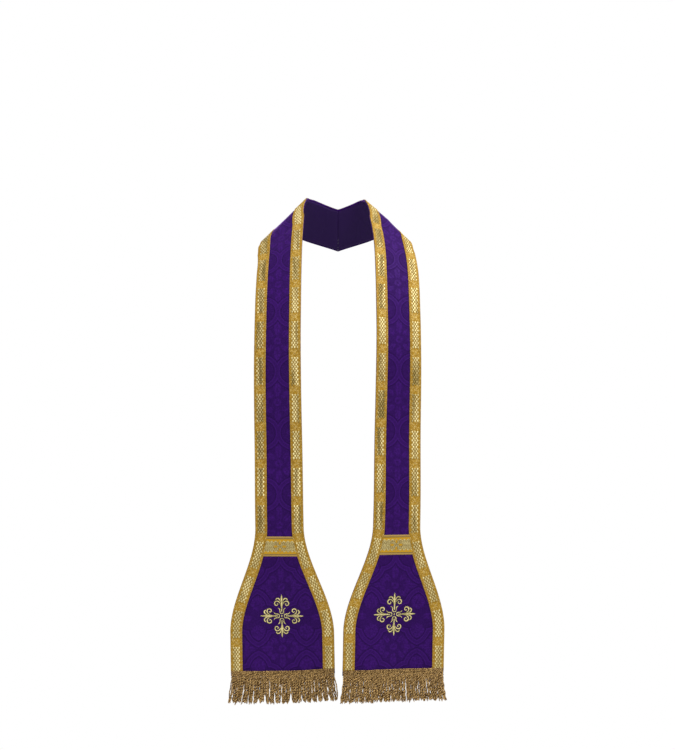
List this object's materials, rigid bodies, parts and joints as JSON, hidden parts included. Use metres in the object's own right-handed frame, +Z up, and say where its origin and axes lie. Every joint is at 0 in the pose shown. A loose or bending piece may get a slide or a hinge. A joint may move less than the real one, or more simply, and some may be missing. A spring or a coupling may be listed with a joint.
{
  "type": "roman stole",
  "caption": "Violet damask stole in its worn form, with bell-shaped ends, gold galloon edging, embroidered crosses and gold fringe.",
  "frame": {"origin": "middle of the neck opening, level with the points where the inner edges pass the sides of the neck", "axes": "+Z up, the front faces -Y, +X towards the wearer's left"},
  "size_m": [0.3787, 0.2801, 0.9018],
  "materials": {
    "damask": "silky deep violet damask, tone on tone",
    "lining": "plain violet satin lining",
    "galloon": "woven amber silk with metallic pale gold lattice",
    "band": "woven amber silk with silver-gold figure",
    "embroidery": "pale gold satin stitch",
    "fringe": "twisted antique gold cord"
  },
  "bodies": {
    "root": {"face_right": "damask", "lining_right": "lining", "galloon_inner_right": "galloon", "galloon_outer_right": "galloon", "band_right": "band", "cross_right": "embroidery", "fringe_right": "fringe", "face_left": "damask", "lining_left": "lining", "galloon_inner_left": "galloon", "galloon_outer_left": "galloon", "band_left": "band", "cross_left": "embroidery", "fringe_left": "fringe"}
  },
  "joints": []
}
